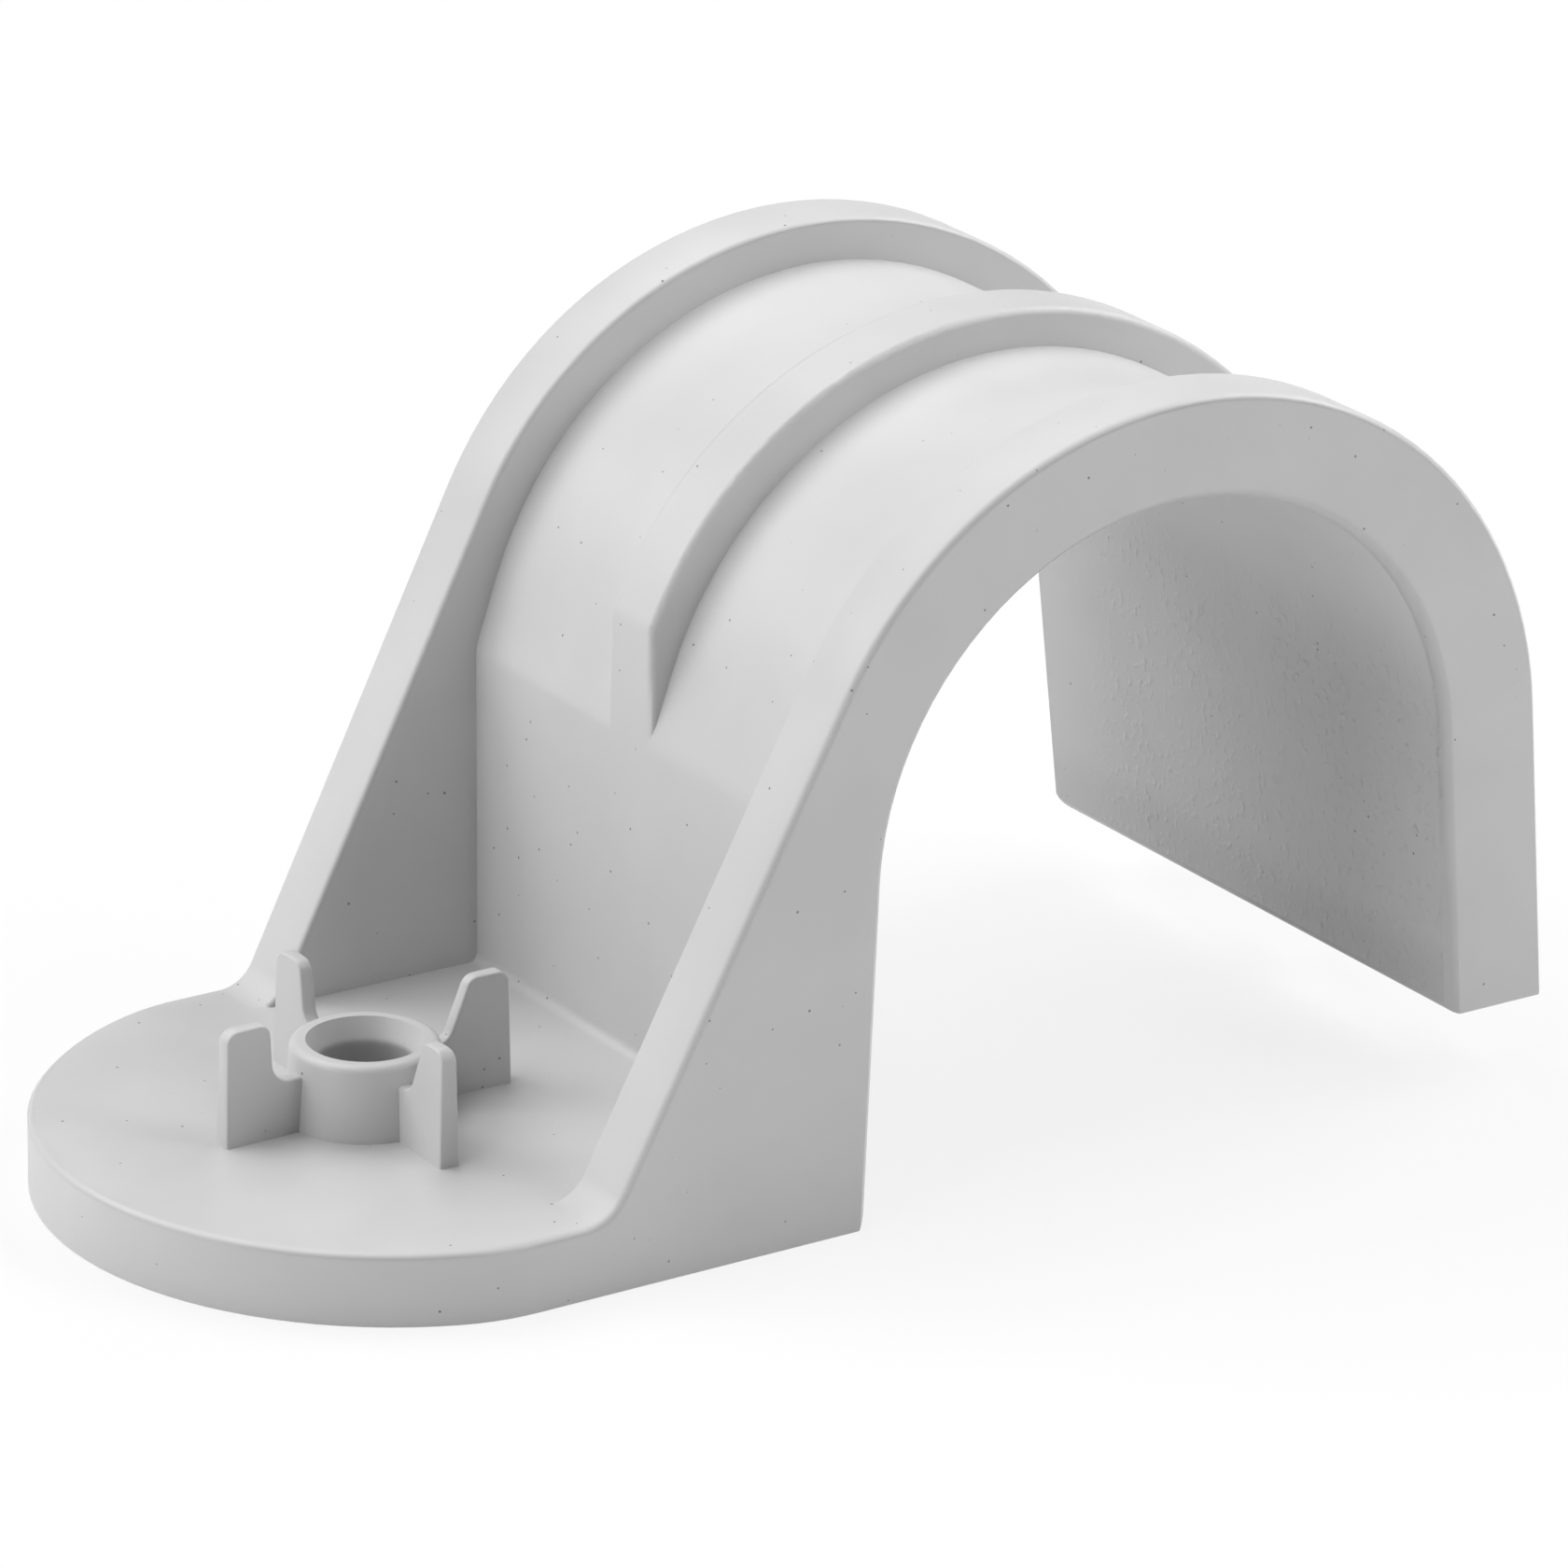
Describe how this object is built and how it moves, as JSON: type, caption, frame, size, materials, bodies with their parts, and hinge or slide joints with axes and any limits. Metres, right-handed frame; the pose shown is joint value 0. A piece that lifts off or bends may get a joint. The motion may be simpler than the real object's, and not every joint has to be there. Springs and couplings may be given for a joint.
{
  "type": "conduit saddle clip",
  "caption": "One-hole half saddle clip in grey plastic: a round-ended pad with a finned fixing hole, and a ribbed arch over a conduit, open below",
  "frame": {"origin": "on the axis of the fixing hole, on the mounting plane under the pad", "axes": "+Z away from the wall along the fixing hole, +X from the hole across the conduit to the free leg, +Y along the conduit"},
  "size_m": [0.0564, 0.0274, 0.0296],
  "materials": {
    "grey_plastic": "light grey moulded plastic, semi-matt"
  },
  "bodies": {
    "root": {"saddle_clip": "grey_plastic"}
  },
  "joints": []
}
